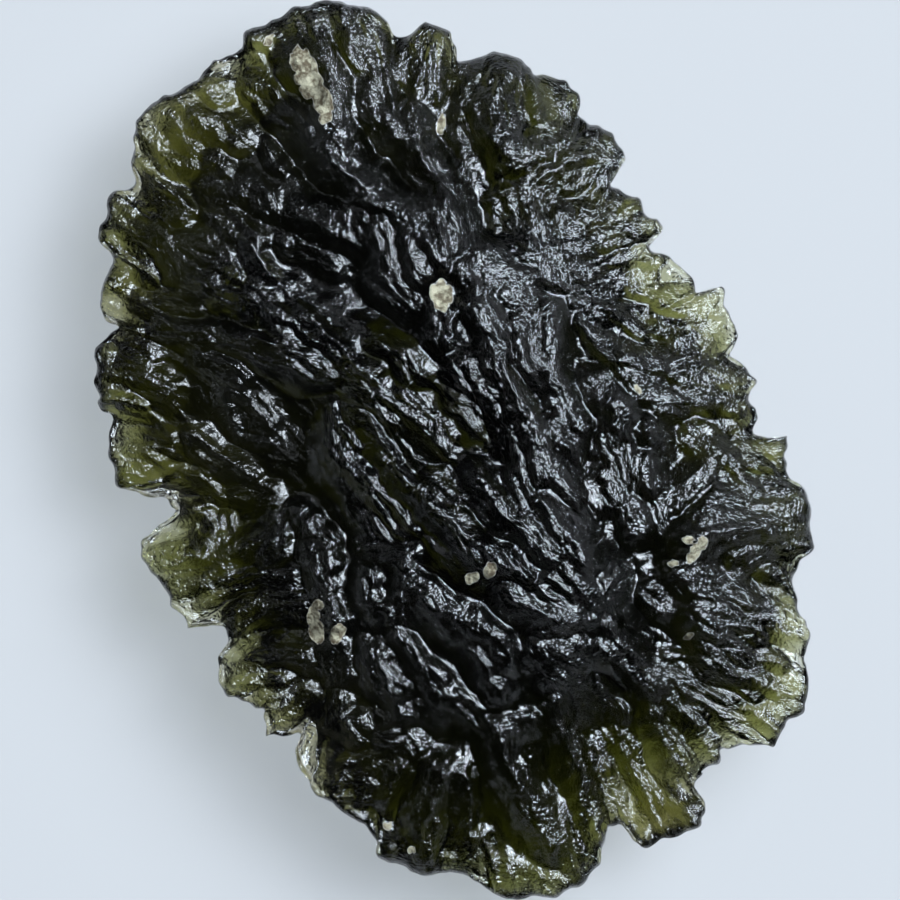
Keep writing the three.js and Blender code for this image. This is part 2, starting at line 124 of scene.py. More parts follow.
# The notched outline, counterclockwise from the lower right corner.
OUTLINE = np.array([
    (13.3, -12.4), (13.8, -11.3), (14.5, -10.9), (14.7, -10.2), (14.7, -9.4), (14.5, -8.6), (14.8, -7.5),
    (14.4, -6.5), (14.1, -5.3), (14.7, -4.5), (15.0, -4.0), (14.75, -3.0), (14.8, -2.4), (14.0, -1.1),
    (13.8, -0.1), (14.0, 0.7), (12.5, 0.75), (12.6, 1.8), (12.25, 2.1), (12.7, 2.9), (12.25, 3.5),
    (11.4, 3.9), (11.8, 4.7), (11.5, 5.5), (11.1, 6.0), (11.1, 6.8), (10.0, 6.5), (9.9, 7.0),
    (9.2, 7.7), (8.2, 8.5), (8.75, 9.3), (8.5, 9.75), (7.9, 9.8), (7.7, 10.5), (6.5, 11.0),
    (7.2, 12.0), (6.7, 13.2), (6.1, 13.5), (5.5, 13.5), (5.1, 14.0), (5.1, 14.7), (4.5, 15.5),
    (3.3, 15.6), (2.9, 16.2), (2.4, 16.5), (1.6, 16.7), (0.1, 16.2), (0.0, 17.5), (-1.3, 18.0),
    (-1.9, 17.3), (-2.4, 17.2), (-2.6, 17.7), (-3.5, 18.4), (-4.3, 18.6), (-5.2, 18.6), (-6.5, 18.4),
    (-7.7, 17.7), (-8.7, 17.3), (-8.75, 16.7), (-10.0, 16.3), (-10.7, 15.2), (-12.1, 14.9),
    (-13.25, 13.2), (-13.5, 12.2), (-13.3, 11.0), (-14.2, 10.9), (-14.6, 10.1), (-14.9, 8.8),
    (-14.3, 7.9), (-14.9, 6.3), (-14.4, 5.3), (-13.8, 5.1), (-15.0, 4.2), (-15.0, 2.0), (-14.3, 1.4),
    (-14.5, -0.2), (-14.0, -1.5), (-11.9, -2.0), (-11.5, -2.5), (-13.0, -3.8), (-13.0, -4.5),
    (-11.9, -6.0), (-11.2, -7.5), (-9.6, -7.4), (-9.5, -8.0), (-9.9, -8.5), (-9.9, -9.3),
    (-9.5, -10.2), (-7.9, -10.75), (-7.9, -12.0), (-6.4, -11.8), (-6.7, -12.5), (-6.1, -14.0),
    (-4.7, -14.8), (-3.3, -16.2), (-3.1, -16.8), (-1.3, -17.7), (0.4, -17.8), (2.1, -18.6),
    (4.2, -18.6), (4.9, -18.1), (5.6, -17.9), (6.2, -17.3), (6.3, -15.6), (6.9, -15.5), (7.3, -16.0),
    (7.9, -16.5), (8.6, -16.2), (10.2, -15.6), (10.4, -15.1), (10.0, -13.9), (10.1, -13.25),
    (11.0, -13.1), (11.1, -12.4),
])

# The main ridges of the upper side: a height, then the points of the crest.
RIDGES = [
    # from the top rim down to the hub
    (1.0, (-5.9, 15.8), (-4.6, 12.1), (-3.3, 10.4), (-1.9, 9.8), (-0.6, 8.5), (-0.2, 7.3)),
    (0.8, (-2.6, 13.75), (-1.25, 11.25), (-0.6, 10.4), (0.0, 8.3)),
    (0.6, (-3.2, 17.6), (-3.4, 14.2)),
    (0.6, (-1.0, 17.0), (-0.6, 13.2), (0.4, 10.6)),
    (0.9, (2.4, 15.6), (1.9, 13.9), (2.6, 12.4), (4.8, 12.2)),
    # upper left
    (0.8, (-10.4, 14.0), (-8.8, 12.8), (-7.5, 11.0)),
    (0.7, (-9.8, 12.1), (-8.5, 10.4), (-8.1, 8.5)),
    (0.8, (-12.7, 11.0), (-10.6, 9.2), (-9.2, 7.9)),
    (0.8, (-12.1, 8.75), (-11.0, 7.7), (-9.4, 6.7)),
    # the two long ones from the left rim to the middle
    (0.9, (-10.4, 7.1), (-8.1, 6.25), (-6.9, 5.6), (-5.2, 4.4), (-2.9, 2.7)),
    (1.0, (-12.7, 5.0), (-8.1, 4.5), (-6.5, 4.0), (-4.6, 3.0), (-3.3, 2.1)),
    # the middle, running down to the right
    (1.1, (1.0, 6.0), (2.0, 4.75), (2.3, 2.75), (2.75, 1.5), (3.6, -0.4), (4.2, -1.5)),
    (0.9, (3.9, 5.8), (4.2, 4.4), (4.4, 3.1), (5.5, 0.4)),
    (0.8, (-3.75, 2.4), (-2.9, 1.7), (-2.5, 0.2), (-1.5, -0.8)),
    (0.9, (-4.8, 0.4), (-3.75, -1.0), (-2.9, -2.3), (-1.0, -4.0)),
    (1.1, (-2.3, -1.0), (-0.75, -2.4), (0.5, -3.5), (2.0, -4.5), (2.9, -6.0), (4.6, -7.1)),
    (0.8, (1.0, -1.25), (1.9, -2.3), (3.75, -4.4), (4.9, -5.9)),
    (0.8, (3.75, -2.1), (4.4, -2.9), (5.0, -4.0), (5.6, -5.0)),
    # the lower part
    (0.9, (-2.3, -5.0), (-0.5, -6.5), (2.0, -7.9), (2.4, -9.2), (2.2, -10.0)),
    (0.7, (-2.7, -6.25), (-2.1, -7.7), (-0.5, -10.0)),
    (0.8, (-4.2, -5.8), (-3.5, -7.9), (-2.5, -10.2)),
    (0.8, (1.9, -12.2), (2.1, -13.1), (3.8, -15.1), (4.0, -16.5)),
    (1.0, (3.75, -7.9), (4.2, -10.0), (4.6, -11.9), (5.5, -13.7), (6.0, -16.0)),
    (0.7, (-0.3, -13.0), (-0.8, -13.9), (-1.5, -16.25)),
    (0.8, (7.0, -8.0), (8.0, -8.9), (8.3, -9.7), (8.6, -11.8), (9.3, -12.5)),
    # the right side
    (1.0, (8.75, -4.6), (10.25, -3.5), (12.3, -3.2), (14.5, -2.7)),
    (1.0, (6.5, 1.5), (7.0, -0.3), (6.75, -1.5), (7.7, -3.0)),
    (0.9, (5.7, 5.4), (6.3, 4.3), (7.0, 3.8), (8.4, 3.5), (12.3, 2.9)),
    (0.7, (10.75, -0.2), (10.1, -1.0), (9.5, -1.8)),
    (0.7, (10.0, -6.7), (11.5, -6.8), (12.75, -7.3)),
    (0.8, (1.9, 7.8), (3.5, 9.0), (6.5, 10.8)),
    (0.8, (2.5, 7.3), (4.4, 8.3), (6.5, 9.4), (8.3, 9.5)),
    (0.6, (4.4, 6.7), (6.0, 7.5), (7.7, 8.3)),
]

# The strands that the ridges are made of: half width, height, then the points of the crest.
STRANDS = [
    # around and below the hub
    (0.36, 0.70, (1.0, 6.0), (1.6, 5.4), (1.9, 4.6), (2.0, 4.2)),
    (0.30, 0.75, (1.5, 4.3), (1.9, 3.4), (2.4, 2.6), (2.8, 1.9)),
    (0.28, 0.70, (2.8, 1.7), (3.2, 1.1), (3.6, 0.3), (3.6, -0.8)),
    (0.22, 0.55, (2.5, 1.5), (2.8, 0.8), (3.1, -0.4)),
    (0.28, 0.60, (2.9, 5.5), (3.2, 5.0)),
    (0.34, 0.65, (3.0, 4.5), (3.4, 3.5)),
    (0.30, 0.70, (3.9, 5.8), (4.2, 5.2), (4.3, 4.2)),
    (0.30, 0.70, (4.2, 3.5), (4.5, 2.4), (4.8, 1.7), (5.3, 1.1)),
    (0.30, 0.60, (4.4, 1.0), (4.9, 0.4)),
    (0.42, 0.55, (0.5, 3.4), (0.9, 2.9), (1.6, 2.4)),
    (0.36, 0.45, (0.3, 1.9), (0.9, 1.3)),
    (0.40, 0.40, (1.9, 1.6), (2.3, 0.6)),
    (0.30, 0.40, (-0.6, 5.6), (-0.8, 4.8)),
    (0.24, 0.40, (-0.3, 5.6), (-0.3, 4.7)),
    (0.26, 0.70, (-3.1, 7.0), (-2.5, 6.5), (-1.9, 6.0)),
    # the middle, between the long ridges from the left and the lower right
    (0.34, 0.60, (-2.7, 4.5), (-2.0, 3.9), (-1.5, 3.2)),
    (0.40, 0.55, (-3.8, 2.6), (-3.2, 2.3), (-2.3, 1.6)),
    (0.45, 0.45, (-2.0, 2.1), (-1.3, 1.4), (-0.4, 0.7)),
    (0.24, 0.60, (-4.1, 1.5), (-3.3, 0.7), (-2.8, -0.1)),
    (0.26, 0.60, (-5.0, 1.5), (-5.2, 0.8), (-5.1, 0.1), (-4.7, -0.3)),
    (0.20, 0.45, (-4.6, 1.1), (-4.1, 0.9), (-4.0, 0.3), (-4.4, 0.0)),
    (0.36, 0.70, (-4.9, -0.1), (-4.2, -0.7), (-3.3, -1.5), (-2.9, -2.2)),
    (0.28, 0.55, (-4.5, -1.3), (-4.0, -2.0), (-3.9, -2.6)),
    (0.24, 0.55, (-2.6, -2.4), (-1.9, -3.2)),
    (0.32, 0.65, (-3.5, -2.9), (-3.2, -3.6), (-2.6, -4.2), (-2.0, -4.3)),
    (0.28, 0.60, (-2.5, -0.9), (-2.0, -1.5), (-1.2, -1.9)),
    (0.34, 0.80, (-0.9, -2.3), (0.0, -2.9), (0.6, -3.6), (1.3, -4.2), (2.0, -4.7)),
    (0.18, 0.45, (-0.7, -1.1), (-0.1, -1.6), (0.3, -1.7)),
    (0.20, 0.45, (-0.7, -1.8), (0.0, -2.2)),
    (0.36, 0.75, (1.1, -1.2), (1.4, -1.8), (2.1, -2.5)),
    (0.26, 0.75, (2.1, -2.9), (2.7, -3.0), (3.4, -3.5), (4.2, -4.3)),
    (0.26, 0.60, (2.7, -0.9), (3.0, -2.0)),
    (0.44, 0.60, (3.5, -2.2), (4.2, -2.8)),
    (0.28, 0.70, (4.3, -3.0), (4.9, -3.6), (5.4, -4.4)),
    (0.18, 0.40, (4.1, -0.5), (4.6, -1.0), (5.0, -1.8)),
    (0.24, 0.50, (3.5, -0.2), (3.8, -0.7)),
    (0.28, 0.60, (2.5, -4.3), (3.0, -5.1)),
    (0.44, 0.50, (0.3, -4.4), (1.0, -5.0)),
    (0.24, 0.60, (4.6, -4.9), (5.2, -5.6), (5.9, -6.1)),
    (0.22, 0.50, (7.0, -5.2), (6.4, -6.2)),
    # right of the hub, fanning out to the upper right
    (0.30, 0.50, (0.7, 7.5), (1.3, 6.8)),
    (0.28, 0.45, (1.1, 8.0), (1.8, 7.1)),
    (0.30, 0.50, (2.4, 6.6), (3.1, 6.3)),
    (0.34, 0.45, (1.7, 8.3), (2.3, 7.7), (3.3, 7.2)),
    (0.34, 0.55, (2.2, 10.3), (2.4, 9.4), (2.9, 8.8), (3.5, 8.2)),
    (0.34, 0.50, (4.0, 11.3), (3.3, 10.6), (3.3, 9.8), (3.8, 9.1)),
    (0.34, 0.50, (4.6, 9.7), (5.0, 9.0)),
    (0.32, 0.50, (4.0, 8.6), (4.8, 8.0), (5.6, 7.3)),
    (0.30, 0.45, (3.4, 7.9), (4.4, 7.2), (5.0, 6.8)),
    (0.30, 0.45, (5.6, 9.8), (6.6, 9.9), (7.6, 10.4)),
    (0.32, 0.50, (4.6, 8.1), (5.4, 8.4), (6.3, 8.8), (8.3, 9.3)),
    (0.36, 0.40, (5.7, 7.8), (6.8, 8.1), (8.0, 8.3)),
    (0.34, 0.35, (5.2, 6.4), (6.4, 6.8), (7.4, 7.5)),
    (0.32, 0.55, (6.2, 5.8), (7.1, 5.7), (7.9, 5.2)),
    (0.26, 0.65, (5.6, 5.4), (5.9, 4.8), (6.4, 4.3), (7.0, 4.0), (8.6, 3.7)),
    (0.20, 0.40, (6.7, 3.6), (7.4, 3.2), (8.5, 3.3)),
    (0.34, 0.45, (8.6, 5.2), (9.6, 5.0), (10.7, 5.2)),
    (0.28, 0.45, (8.9, 6.3), (9.6, 6.0), (10.4, 6.3), (11.1, 6.6)),
    (0.34, 0.45, (9.8, 3.8), (9.3, 3.1), (9.8, 2.8)),
    (0.34, 0.40, (10.4, 3.5), (11.4, 3.1), (12.5, 3.0)),
    (0.36, 0.40, (9.2, 2.3), (10.4, 2.4), (12.0, 2.1)),
    # the right side
    (0.32, 0.60, (6.0, 3.0), (6.2, 2.3)),
    (0.34, 0.60, (6.5, 2.4), (7.0, 1.7)),
    (0.34, 0.50, (7.8, 3.0), (8.5, 2.4), (9.1, 1.9)),
    (0.30, 0.60, (8.3, 0.9), (8.7, 0.4)),
    (0.26, 0.55, (6.6, 0.9), (6.4, 0.1), (6.9, -0.4), (7.3, -1.0)),
    (0.38, 0.65, (6.5, -1.0), (6.8, -1.9), (7.4, -2.4), (7.7, -3.1)),
    (0.24, 0.45, (8.3, -0.4), (8.0, -1.5)),
    (0.26, 0.50, (8.7, -1.4), (9.1, -1.9)),
    (0.30, 0.55, (10.7, -0.2), (10.2, -0.9), (9.7, -1.5)),
    (0.32, 0.45, (9.9, 0.6), (11.0, 0.1)),
    (0.20, 0.45, (11.7, -0.3), (12.1, -1.0), (12.6, -1.6)),
    (0.20, 0.40, (12.2, 0.2), (12.7, -0.5), (13.1, -1.2)),
    (0.46, 0.55, (10.3, -2.7), (10.8, -2.3), (11.8, -2.1)),
    (0.30, 0.45, (12.4, -2.5), (13.2, -2.1), (14.2, -2.0)),
    (0.40, 0.60, (10.0, -3.7), (10.9, -3.4), (12.6, -3.3), (14.4, -2.9)),
    (0.34, 0.50, (11.9, -4.8), (12.3, -4.2), (13.0, -4.0)),
    (0.30, 0.50, (13.3, -3.8), (14.7, -4.0)),
    (0.36, 0.55, (9.0, -5.4), (9.9, -5.1), (10.9, -5.3)),
    (0.32, 0.50, (9.2, -6.1), (10.2, -5.9), (10.8, -6.2)),
    (0.30, 0.50, (10.9, -5.7), (11.7, -5.6), (12.4, -6.0), (12.8, -6.4)),
    (0.30, 0.50, (13.2, -5.2), (13.9, -5.6)),
    (0.26, 0.45, (13.0, -6.3), (13.4, -5.9), (14.1, -6.4)),
    (0.34, 0.60, (8.3, -5.8), (8.8, -6.3)),
    (0.34, 0.65, (9.9, -6.7), (10.5, -7.1), (11.2, -7.4)),
    (0.30, 0.55, (10.6, -6.7), (11.6, -6.8), (12.6, -7.3)),
    (0.26, 0.45, (11.2, -7.9), (12.3, -8.6), (13.4, -9.0)),
    (0.20, 0.45, (8.9, -8.6), (9.8, -8.7), (10.6, -9.0)),
    (0.26, 0.45, (10.4, -8.2), (11.6, -9.3), (12.6, -9.9)),
    (0.30, 0.45, (9.2, -9.2), (10.0, -9.9), (11.4, -10.6), (12.8, -11.0)),
    (0.26, 0.40, (9.2, -10.2), (10.0, -10.7), (11.0, -11.6), (12.2, -12.2)),
    # the lower part
    (0.30, 0.55, (6.0, -6.9), (6.4, -7.3)),
    (0.34, 0.65, (2.4, -5.9), (3.1, -6.5), (3.8, -7.0), (5.0, -6.8)),
    (0.26, 0.55, (4.0, -5.5), (4.7, -6.1)),
    (0.44, 0.70, (-0.9, -6.2), (0.3, -7.1), (1.1, -7.4), (1.7, -7.8), (2.1, -8.4)),
    (0.28, 0.55, (0.9, -8.2), (1.5, -8.6), (1.3, -9.3), (1.9, -9.9)),
    (0.46, 0.60, (3.6, -8.3), (4.4, -8.5), (5.2, -8.4)),
    (0.40, 0.60, (4.1, -9.1), (4.8, -9.5), (5.3, -9.9), (5.6, -10.6)),
    (0.36, 0.60, (4.5, -10.5), (4.6, -11.3), (5.0, -12.0), (5.3, -13.0)),
    (0.38, 0.60, (5.4, -13.3), (5.5, -14.2), (5.7, -15.0), (6.0, -15.8)),
    (0.28, 0.55, (0.1, -10.3), (0.8, -10.9)),
    (0.24, 0.60, (1.5, -11.4), (2.4, -11.4), (3.1, -11.2)),
    (0.30, 0.55, (1.9, -12.1), (2.1, -12.8)),
    (0.42, 0.60, (2.3, -13.2), (2.9, -14.2), (3.2, -14.9)),
    (0.52, 0.60, (3.4, -14.8), (3.9, -15.4), (4.2, -16.4)),
    (0.40, 0.60, (6.3, -8.1), (7.2, -8.3), (7.9, -9.0), (8.5, -9.7)),
    (0.32, 0.50, (6.1, -10.1), (6.9, -10.9)),
    (0.36, 0.45, (7.0, -11.8), (7.7, -13.4), (8.4, -14.6)),
    (0.24, 0.35, (6.0, -12.3), (6.7, -13.8), (7.4, -15.2)),
    (0.30, 0.55, (8.4, -11.0), (8.8, -12.3), (9.2, -13.3)),
    (0.24, 0.45, (9.0, -12.0), (9.9, -12.9)),
    (0.24, 0.45, (9.6, -10.9), (10.3, -11.8), (10.8, -12.6)),
    (0.30, 0.50, (5.3, -16.1), (5.9, -17.1)),
    (0.42, 0.60, (-0.6, -13.1), (-0.9, -14.1), (-1.3, -15.1), (-1.1, -16.8)),
    (0.30, 0.50, (-2.2, -13.2), (-2.8, -14.2)),
    (0.30, 0.40, (0.3, -13.6), (0.5, -14.9), (0.4, -16.2)),
    (0.30, 0.40, (-4.3, -13.1), (-3.4, -12.9), (-2.5, -12.5)),
    (0.42, 0.60, (-2.5, -11.8), (-1.9, -11.7), (-1.6, -12.1)),
    (0.30, 0.55, (-2.0, -10.9), (-1.3, -10.8), (-0.7, -11.1)),
    (0.24, 0.50, (-4.6, -10.4), (-4.9, -11.1)),
    (0.30, 0.50, (-4.3, -11.2), (-3.8, -11.6)),
    (0.48, 0.65, (-3.2, -8.6), (-2.9, -9.2), (-2.2, -9.7)),
    (0.34, 0.60, (-1.4, -8.9), (-0.8, -9.4), (-0.5, -10.0)),
    (0.26, 0.55, (-2.2, -7.7), (-1.7, -8.3)),
    (0.28, 0.55, (-3.5, -5.1), (-3.5, -5.9)),
    (0.28, 0.50, (-3.0, -6.7), (-2.2, -6.6)),
    (0.26, 0.50, (-1.9, -6.1), (-1.2, -6.6)),
    (0.34, 0.45, (-4.9, -8.3), (-4.6, -9.2)),
    (0.34, 0.60, (-5.7, -4.0), (-5.3, -4.4), (-5.4, -5.2), (-5.3, -6.0), (-4.9, -6.9)),
    (0.22, 0.50, (-1.9, -5.2), (-1.0, -5.8)),
    # the lower left rim
    (0.36, 0.50, (-8.8, -7.1), (-8.3, -6.7), (-7.4, -6.3), (-6.4, -6.3)),
    (0.22, 0.40, (-8.6, -8.0), (-8.1, -8.5)),
    (0.26, 0.35, (-9.4, -9.2), (-8.4, -8.9), (-7.4, -9.3)),
    (0.30, 0.35, (-7.9, -8.6), (-7.0, -8.4), (-6.2, -8.5)),
    (0.30, 0.35, (-7.7, -11.0), (-6.8, -10.7), (-6.1, -10.1)),
    (0.38, 0.55, (-10.7, -2.6), (-10.3, -3.0), (-10.2, -3.6)),
    (0.22, 0.40, (-9.4, -2.9), (-9.3, -3.8), (-9.7, -4.2)),
    (0.24, 0.35, (-12.0, -4.9), (-10.6, -4.8), (-9.0, -4.0), (-7.6, -3.4)),
    (0.22, 0.35, (-11.2, -6.2), (-9.6, -5.7), (-8.0, -5.2), (-6.8, -5.4)),
    (0.24, 0.45, (-7.3, -2.7), (-7.1, -3.4), (-7.5, -4.3)),
    (0.28, 0.55, (-6.5, -2.5), (-5.9, -3.0), (-5.2, -3.6)),
    # the left side
    (0.24, 0.40, (-11.2, -1.1), (-10.2, -1.3), (-9.6, -1.8)),
    (0.30, 0.50, (-9.4, -0.6), (-8.9, -0.9), (-8.4, -1.2)),
    (0.28, 0.50, (-8.8, -1.8), (-8.2, -1.6), (-7.5, -1.9)),
    (0.30, 0.50, (-10.6, 0.4), (-10.1, 0.1), (-9.8, -0.2)),
    (0.32, 0.55, (-9.1, 2.2), (-9.0, 1.7), (-8.8, 1.2)),
    (0.30, 0.50, (-8.1, 1.8), (-7.6, 1.3)),
    (0.24, 0.50, (-8.4, 0.9), (-7.9, 0.7)),
    (0.36, 0.50, (-12.9, 3.0), (-12.3, 2.9), (-11.9, 2.5)),
    (0.28, 0.40, (-13.9, 3.4), (-13.3, 3.2)),
    (0.30, 0.45, (-13.3, 4.8), (-12.8, 4.3), (-12.7, 3.9)),
    (0.30, 0.60, (-12.0, 5.2), (-11.2, 5.0), (-10.2, 4.8)),
    (0.28, 0.50, (-10.3, 3.9), (-9.6, 3.5), (-8.9, 3.1)),
    (0.34, 0.65, (-9.3, 4.7), (-8.6, 4.5), (-7.9, 4.2), (-7.0, 3.9), (-6.0, 3.2)),
    (0.26, 0.60, (-7.0, 5.0), (-6.6, 4.4), (-6.0, 3.9), (-5.2, 3.1)),
    (0.30, 0.65, (-5.5, 4.7), (-4.6, 4.1), (-3.9, 3.4), (-3.3, 3.2)),
    (0.36, 0.65, (-10.3, 7.2), (-9.7, 6.7), (-8.9, 6.2), (-8.2, 5.9)),
    (0.28, 0.60, (-8.2, 6.6), (-7.6, 6.0), (-7.0, 5.4)),
    (0.30, 0.50, (-10.3, 7.8), (-9.7, 7.6), (-9.1, 7.4)),
    (0.30, 0.50, (-6.4, 5.4), (-5.7, 5.0)),
    (0.30, 0.35, (-12.8, 6.2), (-11.7, 6.0), (-10.8, 6.2)),
    # upper left
    (0.34, 0.60, (-12.1, 8.9), (-11.8, 8.1), (-11.2, 7.6), (-10.8, 7.5)),
    (0.32, 0.45, (-11.2, 8.6), (-10.6, 8.4), (-10.1, 8.7)),
    (0.22, 0.45, (-9.9, 8.6), (-9.3, 8.2)),
    (0.34, 0.65, (-9.6, 9.8), (-9.1, 9.3), (-8.3, 8.8)),
    (0.24, 0.50, (-8.3, 8.1), (-7.8, 7.3)),
    (0.36, 0.55, (-9.9, 10.8), (-9.2, 10.5), (-8.6, 11.0)),
    (0.28, 0.50, (-8.2, 10.8), (-7.7, 10.3)),
    (0.30, 0.50, (-12.3, 10.9), (-11.8, 10.5), (-11.4, 10.0)),
    (0.34, 0.60, (-10.6, 13.9), (-10.1, 13.5), (-9.0, 12.9)),
    (0.30, 0.50, (-9.9, 12.2), (-9.5, 11.7)),
    (0.34, 0.35, (-12.8, 12.6), (-11.9, 12.0), (-10.9, 11.9)),
    (0.30, 0.35, (-13.9, 10.0), (-13.4, 9.3), (-12.8, 8.9)),
    (0.30, 0.50, (-8.1, 15.1), (-7.5, 14.5)),
    (0.30, 0.35, (-10.4, 15.4), (-9.7, 14.9)),
    (0.20, 0.40, (-7.4, 12.4), (-7.1, 12.0)),
    (0.34, 0.65, (-7.0, 14.0), (-6.3, 13.4), (-5.7, 12.9)),
    (0.34, 0.60, (-5.2, 13.6), (-4.6, 13.1), (-4.1, 12.4)),
    (0.30, 0.55, (-6.4, 13.1), (-5.8, 12.6), (-5.4, 12.0), (-4.9, 11.5)),
    (0.30, 0.55, (-3.6, 11.0), (-2.9, 10.7), (-2.2, 10.1), (-1.7, 9.4)),
    (0.34, 0.45, (-6.3, 9.9), (-5.9, 9.3), (-5.2, 9.0)),
    (0.34, 0.45, (-6.5, 8.5), (-5.9, 8.1), (-5.0, 7.7)),
    (0.30, 0.40, (-4.7, 9.8), (-4.6, 8.8)),
    (0.30, 0.40, (-3.7, 9.5), (-3.4, 8.8)),
    (0.36, 0.50, (-2.9, 9.2), (-2.6, 8.4), (-2.7, 7.6), (-2.5, 6.9)),
    (0.34, 0.50, (-1.9, 8.6), (-1.5, 8.0), (-1.3, 7.4)),
    (0.34, 0.55, (-1.4, 9.2), (-0.9, 8.4), (-0.6, 7.9)),
    (0.34, 0.45, (-4.9, 15.9), (-4.8, 15.2), (-4.6, 14.4)),
    (0.30, 0.50, (-2.8, 15.5), (-2.8, 14.6)),
    (0.34, 0.50, (-2.9, 13.7), (-2.5, 13.1)),
    (0.30, 0.45, (-0.9, 12.1), (-0.5, 11.5)),
    # the top
    (0.40, 0.75, (-5.4, 12.6), (-4.9, 11.9), (-4.2, 11.3), (-3.4, 10.8)),
    (0.22, 0.60, (-4.1, 12.5), (-3.3, 11.5), (-2.6, 11.0), (-1.9, 10.5), (-1.2, 10.1)),
    (0.28, 0.65, (-3.2, 10.4), (-2.4, 10.3), (-1.7, 9.5), (-1.2, 8.9), (-0.6, 8.2)),
    (0.28, 0.65, (-1.6, 12.3), (-1.3, 11.6), (-0.8, 11.0)),
    (0.32, 0.60, (-0.5, 10.9), (-0.5, 10.1), (-0.1, 9.4), (0.0, 8.5)),
    (0.30, 0.45, (-0.4, 12.0), (0.2, 11.6), (0.2, 11.1)),
    (0.28, 0.50, (-1.4, 13.9), (-1.6, 13.0)),
    (0.32, 0.55, (-3.1, 15.6), (-3.2, 14.6), (-2.8, 13.5)),
    (0.34, 0.60, (-4.5, 18.2), (-4.2, 17.1), (-3.6, 16.2)),
    (0.34, 0.60, (-5.5, 17.8), (-5.3, 16.9), (-4.8, 15.8), (-4.7, 14.7)),
    (0.30, 0.50, (-3.2, 17.4), (-2.9, 16.3)),
    (0.30, 0.50, (-1.1, 17.7), (-1.8, 16.7), (-2.0, 15.9)),
    (0.32, 0.50, (-0.2, 17.0), (-0.7, 16.2), (-0.8, 15.3)),
    (0.28, 0.50, (-6.7, 17.7), (-6.0, 17.0)),
    (0.28, 0.40, (0.2, 15.9), (0.4, 15.1), (0.4, 14.3)),
    (0.28, 0.45, (0.4, 13.2), (0.8, 12.4)),
    (0.44, 0.65, (2.3, 15.7), (1.7, 15.3), (1.4, 14.5), (1.6, 13.5), (2.0, 12.8)),
    (0.40, 0.60, (2.2, 12.5), (2.9, 12.2), (3.6, 12.5), (4.4, 13.2)),
    (0.26, 0.45, (3.2, 15.3), (3.4, 14.5), (4.1, 13.8)),
    (0.28, 0.40, (4.8, 14.6), (4.7, 13.6)),
    (0.32, 0.45, (5.0, 12.2), (5.8, 12.6), (6.7, 12.9)),
    (0.28, 0.45, (4.6, 11.4), (5.6, 11.7), (6.6, 12.0)),
]

# Deep furrows and hollows of the upper side: depth, half width, then the points of the bottom line.
FURROWS = [
    (1.2, 1.1, (5.6, 4.4), (5.1, 2.1), (6.0, -0.4), (6.7, -1.9), (7.7, -4.6), (8.5, -7.1), (9.0, -8.3)),
    (1.1, 0.9, (9.4, 0.6), (9.2, -1.8)),
    (1.2, 0.9, (-6.2, 8.0), (-4.2, 7.0), (-2.2, 5.4)),
    (0.9, 0.55, (-7.0, 12.4), (-5.8, 11.3), (-5.0, 10.7)),
    (1.0, 0.8, (0.2, 12.5), (1.9, 9.2)),
    (1.0, 0.8, (-3.5, 12.3), (-1.7, 11.0)),
    (0.9, 1.2, (-11.5, -2.5), (-6.5, -2.3), (-2.9, -3.4)),
    (0.8, 1.2, (-9.3, 0.9), (-6.2, 1.6)),
    (1.0, 1.3, (5.8, -11.0), (8.2, -14.6)),
    (0.7, 0.9, (7.4, 5.0), (8.0, 4.6)),
    (0.6, 1.0, (0.4, -11.8), (-1.2, -11.6)),
]

# Places where the glass is thin and lets light through: x, y, radius, share taken off the thickness. The
# last one is thicker than the rest of the rim.
THIN_PLACES = [
    (-11.6, 12.6, 3.6, 0.5), (-8.5, 14.4, 2.4, 0.4), (-13.6, 6.5, 1.8, 0.6), (-13.3, 0.0, 2.2, 0.5),
    (-11.4, -5.4, 2.8, 0.7), (-8.8, -9.4, 1.9, 0.55), (-7.0, -11.4, 1.5, 0.5), (-5.8, -13.4, 1.6, 0.45),
    (8.4, 7.2, 2.9, 0.72), (11.0, 5.2, 2.0, 0.55), (13.6, -7.5, 1.8, 0.55), (13.9, -9.8, 1.6, 0.5),
    (12.2, -11.7, 2.0, 0.6), (2.6, -17.8, 2.0, 0.45), (7.9, -13.0, 3.0, 0.5),
    (3.8, 14.2, 3.0, -0.5),
]

# Ovals of soil left in the hollows: x, y, half length, half width, angle in degrees.
SOIL = [
    (-6.1, 15.5, 1.2, 0.5, 112), (-5.4, 14.2, 0.7, 0.35, 95), (-0.55, 6.35, 0.62, 0.42, 100),
    (-0.55, 13.5, 0.42, 0.16, 80), (-5.75, -7.3, 0.75, 0.3, 100), (-4.85, -7.6, 0.42, 0.26, 60),
    (-5.65, -6.4, 0.25, 0.18, 0), (0.7, -5.25, 0.3, 0.2, 20), (1.45, -4.9, 0.34, 0.24, 60),
    (10.0, -4.1, 0.6, 0.24, 55), (9.6, -3.7, 0.25, 0.16, 0), (9.0, -4.7, 0.2, 0.15, 20),
    (9.7, -7.7, 0.22, 0.14, 15), (7.55, 2.5, 0.2, 0.11, 120), (-2.8, -15.65, 0.2, 0.14, 30),
    (-1.8, -16.6, 0.18, 0.14, 60), (-7.7, 17.0, 0.3, 0.15, 60),
]
SOIL_FRAY = (0.35, 1.0, 0.8, 91)     # size of a cell, length and width in cells, channel of the scatter
SOIL_FRAY_DEPTH = 0.5
SOIL_EDGE = (1.1, 0.3)               # where an oval ends, in its half sizes, and how soft its edge is

